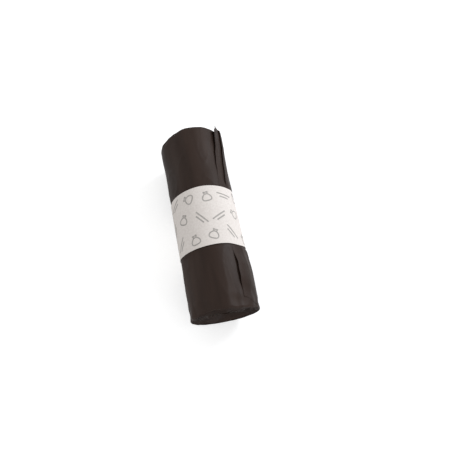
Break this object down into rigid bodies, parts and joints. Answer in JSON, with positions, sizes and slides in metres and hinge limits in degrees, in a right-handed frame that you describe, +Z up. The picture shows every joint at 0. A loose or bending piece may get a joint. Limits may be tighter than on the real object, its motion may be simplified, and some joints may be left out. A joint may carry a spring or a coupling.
{
  "type": "roll of bin bags",
  "caption": "Coreless roll of dark plastic refuse sacks, lying on its side and held by a wrapped paper band, with the outer film's end standing off along the roll and sticking out past one end.",
  "frame": {"origin": "on the floor under the middle of the wound roll, without the corner of film that sticks out past its far end", "axes": "+Y along the roll towards its far end in the picture, +Z up, +X to the right, on the side where the outer film's end lies"},
  "size_m": [0.0668, 0.1952, 0.0629],
  "materials": {
    "film": "dark warm grey polyethylene film with a soft sheen and fine creases",
    "band_paper": "uncoated white paper with a faint grey print"
  },
  "bodies": {
    "root": {"bag_roll": "film", "paper_band": "band_paper"}
  },
  "joints": []
}
